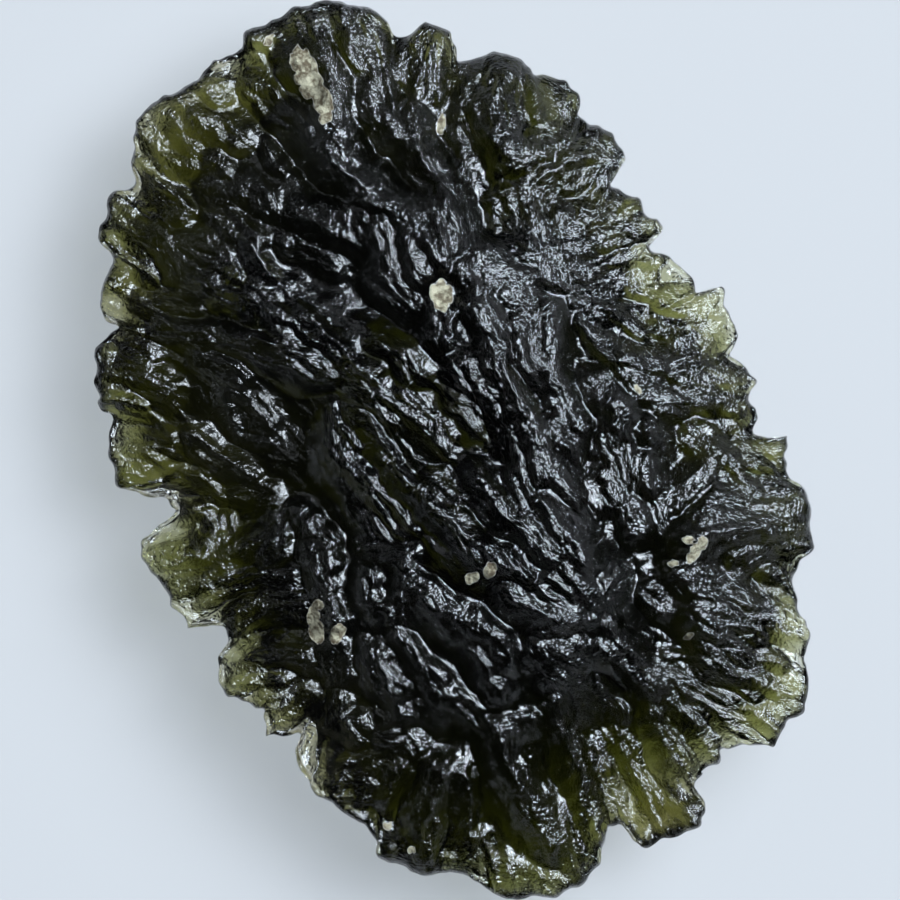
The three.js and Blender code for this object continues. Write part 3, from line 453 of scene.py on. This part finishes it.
# Places with a thin brown film on the glass: x, y, radius, share.
FILM = [
    (-9.5, 12.0, 5.0, 0.55), (-12.0, 6.0, 4.0, 0.45), (-9.4, 1.0, 4.0, 0.7), (-5.0, -10.0, 4.5, 0.5),
    (-3.0, 14.0, 4.0, 0.3), (-4.2, 7.0, 2.6, 0.4), (8.6, -15.4, 2.0, 0.6), (-4.8, -13.0, 2.6, 0.5),
    (-8.0, -6.0, 3.5, 0.3),
]

# Hollows of the underside, where the glass over them lets more light through: height, half width, points.
HOLLOWS = [
    (3.8, 1.8, (-8.5, 6.7), (-6.5, 5.0), (-4.4, 4.2), (-2.3, 3.3), (-0.2, 2.1), (1.2, 0.2)),
    (3.6, 1.6, (-3.5, 1.0), (-1.5, -1.8), (0.8, -4.5)),
    (2.2, 1.3, (3.0, 13.6), (2.2, 11.0), (1.8, 8.8)),
]

# Broad humps of the upper side: x, y, radius, height. The first is the hub that the ridges run out from.
HUMPS = [(-0.6, 5.8, 4.8, 0.8), (2.6, -4.6, 5.0, 0.7), (-8.2, 4.6, 3.6, 0.5), (11.0, -3.4, 3.2, 0.5)]

# Low knobs of the underside, worn flat where the piece lies on them: x, y, radius, height.
KNOBS = [(-5.6, 6.4, 3.6, 1.3), (4.2, 5.6, 3.5, 1.4), (-4.6, -5.0, 3.5, 1.4), (5.8, -6.6, 3.5, 1.3)]

# Pits of both sides and beads of the upper one: size of a cell, length and width in cells, depth, channel
# of the scatter.
UPPER_PITS = [(1.7, 2.0, 0.42, 0.16, 1), (0.85, 1.9, 0.45, 0.12, 11)]
UPPER_BEADS = [(0.62, 1.5, 0.5, 0.07, 21), (0.33, 1.1, 0.6, 0.055, 51)]
BELLY_PITS = [(1.7, 1.35, 0.6, 0.55, 5), (0.9, 1.35, 0.6, 0.25, 31)]
BELLY_CREST = 0.7                    # the underside counts as this near to a strand's top


def clamp01(t):
    return np.clip(t, 0.0, 1.0)


def smooth(t):
    """Rises from 0 to 1 as 3 t^2 - 2 t^3, and stays there."""
    t = clamp01(t)
    return t * t * (3 - 2 * t)


def scatter(i, j, channel):
    """A number from 0 to 1 for a cell and channel: the fraction of a very steep sine."""
    wave = np.sin(i * 127.1 + j * 311.7 + channel * 74.7) * 43758.5453
    return wave - np.floor(wave)


def segment_distance(x, y, a, b):
    """Distance from every point to the segment from a to b: to the nearest place along it."""
    dx, dy = b[0] - a[0], b[1] - a[1]
    along = clamp01(((x - a[0]) * dx + (y - a[1]) * dy) / (dx * dx + dy * dy))
    return np.hypot(x - a[0] - along * dx, y - a[1] - along * dy)


def wander(x, y):
    """Moves every point a little by waves that cross each other, so that no line stays straight."""
    along = np.sin(2.9 * x + 1.7 * y + 0.5) + 0.6 * np.sin(7.3 * y - 5.1 * x + 1.9)
    across = np.sin(1.9 * x - 3.1 * y + 2.2) + 0.6 * np.sin(6.1 * x + 5.7 * y + 4.0)
    return x + WARP * along, y + WARP * across


def line_distance(x, y, points):
    """Distance from every point to a line of segments: to the nearest of them."""
    nearest = np.full(np.shape(x), np.inf)
    for a, b in zip(points[:-1], points[1:]):
        nearest = np.minimum(nearest, segment_distance(x, y, a, b))
    return nearest


def crest_direction(x, y):
    """Direction of the relief: the crest segments' as doubled angles, weighted by 1/(d^2 + blur)^2."""
    along, across = np.zeros(np.shape(x)), np.zeros(np.shape(x))
    for points in [ridge[1:] for ridge in RIDGES] + [strand[2:] for strand in STRANDS]:
        for a, b in zip(points[:-1], points[1:]):
            doubled = 2 * math.atan2(b[1] - a[1], b[0] - a[0])
            weight = 1 / (segment_distance(x, y, a, b) ** 2 + DIRECTION_BLUR) ** 2
            along += weight * math.cos(doubled)
            across += weight * math.sin(doubled)
    return np.arctan2(across, along) / 2


def belly_direction(x, y):
    """Direction away from the hub of the underside."""
    return np.arctan2(y - BELLY_HUB[1], x - BELLY_HUB[0])


def bowls(x, y, cell, length, width, channel, direction):
    """Long bowls, one to a jittered cell, turned to the relief. The nearest one's value counts, and it is
    1 - (along / length)^2 - (across / width)^2."""
    i, j = np.floor(x / cell).astype(int), np.floor(y / cell).astype(int)
    margin = NEIGHBOURS + 1
    low_i, low_j = i.min() - margin, j.min() - margin
    columns, rows = np.arange(low_i, i.max() + margin + 1), np.arange(low_j, j.max() + margin + 1)
    ci, cj = np.meshgrid(columns, rows, indexing="ij")
    bowl_x = (ci + 0.5 + PIT_SCATTER * (scatter(ci, cj, channel) - 0.5)) * cell
    bowl_y = (cj + 0.5 + PIT_SCATTER * (scatter(ci, cj, channel + 1) - 0.5)) * cell
    turn = direction(bowl_x, bowl_y)
    cos, sin = np.cos(turn), np.sin(turn)
    lowest = np.ones(np.shape(x))
    for di in range(-NEIGHBOURS, NEIGHBOURS + 1):
        for dj in range(-NEIGHBOURS, NEIGHBOURS + 1):
            at = (i + di - low_i, j + dj - low_j)
            dx, dy = x - bowl_x[at], y - bowl_y[at]
            along = dx * cos[at] + dy * sin[at]
            across = dy * cos[at] - dx * sin[at]
            value = (along / (length * cell)) ** 2 + (across / (width * cell)) ** 2
            lowest = np.minimum(lowest, value)
    return 1 - lowest


def ridge_height(x, y):
    """The feet of the ridges: roofs with a rounded crest, the highest one wins."""
    highest = np.zeros(np.shape(x))
    for height, *points in RIDGES:
        from_crest = np.hypot(line_distance(x, y, points), RIDGE_ROUNDING) - RIDGE_ROUNDING
        highest = np.maximum(highest, height * (1 - from_crest / RIDGE_HALF_WIDTH))
    return highest


def strand_height(x, y):
    """Narrow roofs with a rounded top, the highest wins. Also how near each point is to a top, 0 to 1."""
    highest, top = np.zeros(np.shape(x)), np.zeros(np.shape(x))
    for half_width, height, *points in STRANDS + rim_teeth():
        away = line_distance(x + STRAND_SHIFT[0], y + STRAND_SHIFT[1], points)
        from_crest = (away ** 4 + STRAND_ROUNDING ** 4) ** 0.25 - STRAND_ROUNDING
        roof = 1 - from_crest / (STRAND_SPREAD * half_width)
        highest = np.maximum(highest, height * roof)
        top = np.maximum(top, smooth((roof - TOP_FROM) / TOP_BLEND))
    return highest, top


def rim_teeth():
    """A strand for each tooth of the outline: from its tip inwards, towards the middle of its neighbours."""
    before, after = np.roll(OUTLINE, 2, axis=0), np.roll(OUTLINE, -2, axis=0)
    inwards = (before + after) / 2 - OUTLINE
    outside = np.cross(after - before, inwards) > 0
    teeth = []
    for tip, step, is_tooth in zip(OUTLINE, inwards, outside):
        depth = np.linalg.norm(step)
        if is_tooth and depth > TOOTH_LEAST_DEPTH:
            root = tip + step / depth * TOOTH_LENGTH
            teeth.append((TOOTH_HALF_WIDTH, TOOTH_HEIGHT, tuple(tip), tuple(root)))
    return teeth


def furrow_depth(x, y):
    """Flat bottoms with steep walls, the deepest furrow wins."""
    deepest = np.zeros(np.shape(x))
    for depth, half_width, *points in FURROWS:
        inside = FURROW_REACH - line_distance(x, y, points) / half_width
        deepest = np.maximum(deepest, depth * smooth(inside / FURROW_WALL))
    return FURROW_GAIN * deepest


def bell(x, y, cx, cy, radius):
    """A round hump of height 1: exp(-(distance / radius)^2)."""
    return np.exp(-((x - cx) ** 2 + (y - cy) ** 2) / radius ** 2)


def hump_height(x, y):
    """Bells over the humps, the highest one wins."""
    return np.maximum.reduce([height * bell(x, y, cx, cy, radius) for cx, cy, radius, height in HUMPS])


def thin_share(x, y):
    """Share of the thickness that is left: the product of 1 - share * bell over the thin places."""
    kept = np.ones(np.shape(x))
    for cx, cy, radius, share in THIN_PLACES:
        kept *= 1 - share * bell(x, y, cx, cy, radius)
    return kept


def middle_height(x, y):
    """Height of the rim's middle, which sways by a slow sine across the piece."""
    return MIDDLE_HEIGHT + RIM_SWAY * np.sin(0.24 * x + 0.6) * np.cos(0.17 * y - 0.4)


def edge(distance, height, rounding):
    """Half of the rim's section: a low wall, then a slope that ends at the rounding distance."""
    wall, slope = smooth(distance / BLUNT_WIDTH), clamp01(distance / rounding)
    return height * (BLUNT_SHARE * wall + (1 - BLUNT_SHARE) * slope)


def swell(distance, reach, power):
    """Rises from 0 at the rim to 1 at the reach, as a power of a quarter sine."""
    return np.sin(math.pi / 2 * clamp01(distance / reach)) ** power


def relief_share(distance):
    """Share of the relief's depth, a little less at the rim."""
    return RELIEF_AT_RIM + (1 - RELIEF_AT_RIM) * smooth(distance / RELIEF_REACH)


def ripple(share, count, channel):
    """Smoothed noise from -0.5 to 0.5 along a closed line, with count waves to its length."""
    k = np.floor(share * count)
    blend = smooth(share * count - k)
    here, after = scatter(k % count, 0, channel), scatter((k + 1) % count, 0, channel)
    return (1 - blend) * here + blend * after - 0.5


def rim_grooves(distance, around, channel):
    """Fine grooves that run inwards from the rim and fade out."""
    waves = sum(depth * ripple(around, count, channel + count) for count, depth in GROOVES)
    return waves * (1 - smooth(distance / GROOVE_REACH))


def soil_share(x, y):
    """1 inside the ovals of soil and 0 outside, with an edge that small bowls fray."""
    fray = SOIL_FRAY_DEPTH * (bowls(x, y, *SOIL_FRAY, belly_direction) - 0.5)
    end, softness = SOIL_EDGE
    share = np.zeros(np.shape(x))
    for cx, cy, length, width, angle in SOIL:
        cos, sin = math.cos(math.radians(angle)), math.sin(math.radians(angle))
        along, across = (x - cx) * cos + (y - cy) * sin, (y - cy) * cos - (x - cx) * sin
        inside = end - np.hypot(along / length, across / width) + fray
        share = np.maximum(share, smooth(inside / softness))
    return share


def lower_height(x, y, distance, around):
    """Height of the underside: dished in from the rim, with pits, hollows and the knobs that it lies on."""
    thin = thin_share(x, y)
    belly = clamp01(swell(distance, BELLY_REACH, BELLY_POWER) * thin)
    pits = np.zeros(np.shape(x))
    for cell, length, width, depth, channel in BELLY_PITS:
        pits += depth * bowls(x, y, cell, length, width, channel, belly_direction)
    knobs, beside = np.zeros(np.shape(x)), np.ones(np.shape(x))
    for cx, cy, radius, height in KNOBS:
        share = 1 - smooth(np.hypot(x - cx, y - cy) / radius)
        knobs, beside = np.maximum(knobs, height * share), beside * (1 - share)
    hollow = np.maximum.reduce([height * np.exp(-(line_distance(x, y, points) / half_width) ** 2)
                                for height, half_width, *points in HOLLOWS])
    kept = LOWER_EDGE_KEPT + (1 - LOWER_EDGE_KEPT) * thin
    rim = middle_height(x, y) - edge(distance, LOWER_EDGE, LOWER_ROUNDING) * kept
    dished = rim + (BELLY_CLEARANCE - rim) * belly
    grooves = LOWER_GROOVE_GAIN * rim_grooves(distance, around, LOWER_GROOVE_CHANNEL)
    relief = pits * relief_share(distance) + grooves
    return np.maximum(dished + hollow * belly * beside + relief - knobs, 0.0)


def upper_height(x, y, distance, around, lower):
    """Height of the upper side, and how near each point is to the top of a strand."""
    rise = CROWN_RISE + hump_height(x, y)
    crown = rise * swell(distance, CROWN_REACH, CROWN_POWER) * thin_share(x, y)
    u, v = wander(x, y)
    strands, crest = strand_height(u, v)
    strands = STRAND_GAIN * strands
    furrows = furrow_depth(u, v)
    relief = RIDGE_SHARE * ridge_height(u, v) - furrows
    for cell, length, width, depth, channel in UPPER_PITS:
        relief -= depth * bowls(u, v, cell, length, width, channel, crest_direction)
    beads = [depth * bowls(u, v, cell, length, width, channel, crest_direction)
             for cell, length, width, depth, channel in UPPER_BEADS]
    relief += strands * (1 - STRAND_BEADS + STRAND_BEADS * beads[0] / UPPER_BEADS[0][3])
    relief += sum(beads) * (VALLEY_BEADS + (1 - VALLEY_BEADS) * crest)
    relief = relief * relief_share(distance) + rim_grooves(distance, around, UPPER_GROOVE_CHANNEL)
    height = middle_height(x, y) + edge(distance, UPPER_EDGE, UPPER_ROUNDING) + crown + relief
    height = np.maximum(height, lower + LEAST_THICKNESS * clamp01(distance / UPPER_ROUNDING))
    return height, crest


def walk_rim(outline, steps):
    """Points around the outline at about equal steps, with one step on each of the outline's own points."""
    following = np.roll(outline, -1, axis=0)
    lengths = np.linalg.norm(following - outline, axis=1)
    walked = np.concatenate(([0.0], np.cumsum(lengths)))
    stops = np.round(walked / walked[-1] * steps)
    fraction = np.interp(np.arange(steps), stops, np.arange(len(stops)))
    corner = np.floor(fraction).astype(int)
    share = (fraction - corner)[:, None]
    return outline[corner] * (1 - share) + following[corner] * share


def ragged(rim):
    """Chips along the rim: each point moves outwards or inwards by smoothed noise of the way round."""
    tangent = np.roll(rim, -1, axis=0) - np.roll(rim, 1, axis=0)
    outwards = np.column_stack((tangent[:, 1], -tangent[:, 0]))
    outwards /= np.linalg.norm(outwards, axis=1)[:, None]
    share = np.arange(len(rim)) / len(rim)
    shift = sum(2 * depth * ripple(share, count, RIM_CHANNEL) for count, depth in RIM_RAGGED)
    return rim + outwards * shift[:, None]


def ring_average(rim, reach):
    """Rim with every point replaced by the mean of its neighbours up to reach steps away."""
    return sum(np.roll(rim, s, axis=0) for s in range(-reach, reach + 1)) / (2 * reach + 1)


def between(points, place):
    """Points of a closed line at fractional places, taken straight between its own points."""
    k = np.floor(place).astype(int)
    share = (place - k)[..., None]
    return points[k % len(points)] * (1 - share) + points[(k + 1) % len(points)] * share


def sheet_grid(rings, rim, soft_rim):
    """Square rings stretched to the outline: ring r lies r/rings of the way out, notched towards the rim."""
    column, row = np.meshgrid(np.arange(-rings, rings + 1), np.arange(-rings, rings + 1))
    ring = np.maximum(np.abs(column), np.abs(row))
    safe = np.maximum(ring, 1)
    right = (column == ring) & (row < ring)
    top = ~right & (row == ring) & (column > -ring)
    left = ~right & ~top & (column == -ring) & (row > -ring)
    walked = np.where(right, row + ring, np.where(top, 3 * ring - column, np.where(
        left, 5 * ring - row, 7 * ring + column)))
    place = walked / (8 * safe) * len(rim)
    out = ring / rings
    notched = smooth((out - NOTCHED_FROM) / (1 - NOTCHED_FROM))[..., None]
    spot = between(soft_rim, place) * (1 - notched) + between(rim, place) * notched
    return spot * out[..., None], ring == rings, place / len(rim)


def side_sheet(rings, rim):
    """Flat points and triangles of one side, with the distance to the rim: row by row over the grid."""
    soft_rim = ring_average(rim, SMOOTH_STEPS)
    spots, on_rim, around = sheet_grid(rings, rim, soft_rim)
    x, y = spots[..., 0].ravel(), spots[..., 1].ravel()
    distance = line_distance(x, y, np.vstack((rim[::2], rim[:1])))
    side = 2 * rings + 1
    row, column = np.meshgrid(np.arange(side - 1), np.arange(side - 1), indexing="ij")
    corner = (row * side + column).ravel()
    a, b, c, d = corner, corner + 1, corner + side + 1, corner + side
    outward = ((row < rings) == (column < rings)).ravel()
    first = np.where(outward[:, None], np.column_stack((a, b, c)), np.column_stack((a, b, d)))
    second = np.where(outward[:, None], np.column_stack((a, c, d)), np.column_stack((b, c, d)))
    return x, y, distance, around.ravel(), on_rim.ravel(), np.vstack((first, second))


def rim_places(rings, on_rim):
    """The rim's points of a side in their order around it, starting at the middle of the right side."""
    column, row = np.meshgrid(np.arange(-rings, rings + 1), np.arange(-rings, rings + 1))
    index = np.flatnonzero(on_rim)
    turn = np.arctan2(row.ravel()[index], column.ravel()[index])
    return index[np.argsort(np.mod(turn + math.pi / 4, 2 * math.pi))]


def join_at_rim(triangles, ring):
    """Splits each triangle of the coarser sheet that has two neighbouring rim points at the one between."""
    following, middle = np.full((2, triangles.max() + 1), -1)
    following[ring[::2]] = np.roll(ring[::2], -1)
    middle[ring[::2]] = ring[1::2]
    kept, places, added = triangles.copy(), [], []
    for turn in range(3):
        p, q, r = np.roll(triangles, -turn, axis=1).T
        at = np.flatnonzero(following[q] == p)
        kept[at] = np.column_stack((p, middle[q], r))[at]
        added.append(np.column_stack((middle[q], q, r))[at])
        places.append(at + 1)
    return np.insert(kept, np.concatenate(places), np.vstack(added), axis=0)


def make_mesh(name, vertices, faces, attributes):
    """A smooth-shaded mesh of triangles, with one number at each vertex for every attribute."""
    mesh = bpy.data.meshes.new(name)
    mesh.vertices.add(len(vertices))
    mesh.vertices.foreach_set("co", vertices.ravel())
    mesh.loops.add(faces.size)
    mesh.loops.foreach_set("vertex_index", faces.ravel())
    mesh.polygons.add(len(faces))
    mesh.polygons.foreach_set("loop_start", np.arange(0, faces.size, 3))
    mesh.polygons.foreach_set("use_smooth", np.ones(len(faces), dtype=bool))
    mesh.update(calc_edges=True)
    mesh.validate()
    for attribute, values in attributes.items():
        mesh.attributes.new(attribute, "FLOAT", "POINT").data.foreach_set("value", values)
    return mesh


def moldavite_mesh(name):
    """Two sheets joined at the rim: z is a function of x, y and rim distance. The lower one is coarser."""
    rim = ragged(ring_average(walk_rim(OUTLINE, RIM_STEPS), 1))
    x, y, distance, around, on_rim, sheet = side_sheet(RINGS, rim)
    soil = soil_share(x, y)
    upper, crest = upper_height(x, y, distance, around, lower_height(x, y, distance, around))
    upper = np.where(on_rim, middle_height(x, y), upper + SOIL_THICKNESS * soil)
    ring = rim_places(RINGS, on_rim)

    low_x, low_y, low_distance, low_around, low_on_rim, low_sheet = side_sheet(RINGS // 2, rim)
    lower = lower_height(low_x, low_y, low_distance, low_around)
    low_ring = rim_places(RINGS // 2, low_on_rim)
    index = x.size + np.cumsum(~low_on_rim) - 1
    index[low_ring] = ring[::2]
    faces = np.vstack((sheet, join_at_rim(index[low_sheet][:, ::-1], ring)))
    inner = ~low_on_rim
    vertices = np.vstack((np.column_stack((x, y, upper)),
                          np.column_stack((low_x, low_y, lower))[inner])) * MM
    film = np.maximum.reduce([share * bell(x, y, cx, cy, radius) for cx, cy, radius, share in FILM])
    attributes = {attribute: np.concatenate((above, np.full(inner.sum(), below)))
                  for attribute, above, below in (("soil", soil, 0.0), ("film", film, 0.0),
                                                  ("crest", crest, BELLY_CREST))}
    return make_mesh(name, vertices, faces, attributes)


def moldavite_glass():
    """Clear glass that takes up light as it passes: least of green, a little more of red, most of blue.
    Where the attributes say, a film tints and dulls it, soil covers it, and bump roughens the crests."""
    material = bpy.data.materials.new("moldavite_glass")
    material.use_nodes = True
    tree = material.node_tree
    nodes, links = tree.nodes, tree.links
    nodes.clear()
    output = nodes.new("ShaderNodeOutputMaterial")
    surface = nodes.new("ShaderNodeBsdfPrincipled")
    surface.inputs["IOR"].default_value = 1.49
    links.new(surface.outputs["BSDF"], output.inputs["Surface"])

    absorption = nodes.new("ShaderNodeVolumeAbsorption")
    absorption.inputs["Color"].default_value = (0.57, 0.58, 0.19, 1.0)
    absorption.inputs["Density"].default_value = 2300.0
    links.new(absorption.outputs["Volume"], output.inputs["Volume"])

    place = nodes.new("ShaderNodeTexCoord")
    scale = nodes.new("ShaderNodeMapping")
    scale.inputs["Scale"].default_value = (1 / MM, 1 / MM, 1 / MM)
    links.new(place.outputs["Object"], scale.inputs["Vector"])

    def noise(waves, detail):
        grain = nodes.new("ShaderNodeTexNoise")
        grain.inputs["Scale"].default_value = waves
        grain.inputs["Detail"].default_value = detail
        grain.inputs["Roughness"].default_value = 0.55
        links.new(scale.outputs["Vector"], grain.inputs["Vector"])
        return grain.outputs["Fac"]

    def attribute(name):
        reader = nodes.new("ShaderNodeAttribute")
        reader.attribute_name = name
        return reader.outputs["Fac"]

    def set_or_link(socket, value):
        """Gives a socket a plain value, or links it to the output of another node."""
        if isinstance(value, (float, tuple)):
            socket.default_value = value
        else:
            links.new(value, socket)

    def between_values(factor, low, high):
        mix = nodes.new("ShaderNodeMapRange")
        set_or_link(mix.inputs["To Min"], low)
        set_or_link(mix.inputs["To Max"], high)
        links.new(factor, mix.inputs["Value"])
        return mix.outputs["Result"]

    def between_colours(factor, low, high):
        mix = nodes.new("ShaderNodeMix")
        mix.data_type = "RGBA"
        set_or_link(mix.inputs["A"], low)
        set_or_link(mix.inputs["B"], high)
        links.new(factor, mix.inputs["Factor"])
        return mix.outputs["Result"]

    def threshold(value, grain, low, high):
        """Steps from 0 to 1 where value plus grain passes low to high, so that grain frays the edge."""
        total = nodes.new("ShaderNodeMath")
        total.operation = "ADD"
        step = nodes.new("ShaderNodeMapRange")
        step.interpolation_type = "SMOOTHSTEP"
        step.inputs["From Min"].default_value = low
        step.inputs["From Max"].default_value = high
        links.new(value, total.inputs[0])
        links.new(grain, total.inputs[1])
        links.new(total.outputs["Value"], step.inputs["Value"])
        return step.outputs["Result"]

    clean_tint, film_tint = (0.93, 0.93, 0.87, 1.0), (0.50, 0.31, 0.14, 1.0)
    dark_earth, pale_earth = (0.06, 0.045, 0.024, 1.0), (0.29, 0.27, 0.19, 1.0)
    clean_roughness, film_roughness, soil_roughness = 0.14, 0.34, 0.85
    valley_bump, crest_bump = 0.4, 0.85

    soil = threshold(attribute("soil"), noise(3.0, 3.0), 0.95, 1.15)
    film = attribute("film")
    tinted = between_colours(film, clean_tint, film_tint)
    clods = threshold(noise(1.6, 3.0), noise(4.0, 2.0), 0.8, 1.2)
    earth = between_colours(clods, dark_earth, pale_earth)
    links.new(between_colours(soil, tinted, earth), surface.inputs["Base Color"])
    dulled = between_values(film, clean_roughness, film_roughness)
    links.new(between_values(soil, dulled, soil_roughness), surface.inputs["Roughness"])
    links.new(between_values(soil, 1.0, 0.0), surface.inputs["Transmission Weight"])

    bump = nodes.new("ShaderNodeBump")
    crests = threshold(attribute("crest"), noise(0.9, 2.0), 0.4, 1.0)
    links.new(between_values(crests, valley_bump, crest_bump), bump.inputs["Strength"])
    bump.inputs["Distance"].default_value = 0.09 * MM
    links.new(noise(7.0, 1.0), bump.inputs["Height"])
    links.new(bump.outputs["Normal"], surface.inputs["Normal"])
    return material


body = bpy.data.objects.new("moldavite_body", moldavite_mesh("moldavite_body"))
bpy.context.collection.objects.link(body)
body.data.materials.append(moldavite_glass())
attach(body, "root")
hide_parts("moldavite")


# ------------------------------------------------------------
# Floor and light
# A plain pale floor under a dark ceiling. A large soft lamp and a small one stand at the upper right, and
# a weak one at the upper left.
# ------------------------------------------------------------
def pale_floor():
    mesh = bpy.data.meshes.new("floor")
    half = 3.0
    mesh.from_pydata([(-half, -half, 0), (half, -half, 0), (half, half, 0), (-half, half, 0)], [],
                     [(0, 1, 2, 3)])
    floor = bpy.data.objects.new("floor", mesh)
    bpy.context.collection.objects.link(floor)
    material = bpy.data.materials.new("floor_paper")
    material.use_nodes = True
    paper = material.node_tree.nodes["Principled BSDF"]
    paper.inputs["Base Color"].default_value = (0.15, 0.145, 0.145, 1.0)
    paper.inputs["Roughness"].default_value = 0.9
    paper.inputs["Specular IOR Level"].default_value = 0.1
    paper.inputs["Emission Color"].default_value = (0.82, 0.91, 1.0, 1.0)
    paper.inputs["Emission Strength"].default_value = 0.45
    mesh.materials.append(material)
    return floor


pale_floor()


def softbox(name, azimuth, elevation, distance, size, power, colour):
    """A round lamp on a sphere about the piece, facing its middle."""
    data = bpy.data.lights.new(name, "AREA")
    data.shape = "DISK"
    data.size = size
    data.energy = power
    data.color = colour
    lamp = bpy.data.objects.new(name, data)
    az, el = math.radians(azimuth), math.radians(elevation)
    lamp.location = (distance * math.cos(el) * math.cos(az), distance * math.cos(el) * math.sin(az),
                     distance * math.sin(el))
    lamp.rotation_euler = (math.pi / 2 - el, 0.0, az + math.pi / 2)
    bpy.context.collection.objects.link(lamp)
    return lamp


softbox("key", 32, 56, 1.0, 0.9, 29.0, (0.79, 0.895, 1.0))
softbox("window", 28, 54, 0.9, 0.34, 5.5, (0.82, 0.91, 1.0))
softbox("side", 140, 48, 1.0, 0.6, 0.7, (0.88, 0.94, 1.0))

world = bpy.data.worlds.new("studio")
world.use_nodes = True
nodes, links = world.node_tree.nodes, world.node_tree.links
direction = nodes.new("ShaderNodeTexCoord")
split = nodes.new("ShaderNodeSeparateXYZ")
links.new(direction.outputs["Generated"], split.inputs["Vector"])
ramp = nodes.new("ShaderNodeValToRGB")
ramp.color_ramp.elements[0].position = 0.512
ramp.color_ramp.elements[0].color = (0.37, 0.41, 0.45, 1.0)
ramp.color_ramp.elements[1].position = 0.54
ramp.color_ramp.elements[1].color = (0.016, 0.017, 0.019, 1.0)
# the ramp is read at 0.5 + z / 2 of the direction, so it turns dark a little above the horizon
half_up = nodes.new("ShaderNodeMath")
half_up.operation = "MULTIPLY_ADD"
half_up.inputs[1].default_value = 0.5
half_up.inputs[2].default_value = 0.5
links.new(split.outputs["Z"], half_up.inputs[0])
links.new(half_up.outputs["Value"], ramp.inputs["Fac"])
links.new(ramp.outputs["Color"], nodes["Background"].inputs["Color"])
bpy.context.scene.world = world

bpy.context.scene.view_settings.view_transform = "Standard"
bpy.context.scene.cycles.max_bounces = 8
bpy.context.scene.cycles.transmission_bounces = 8
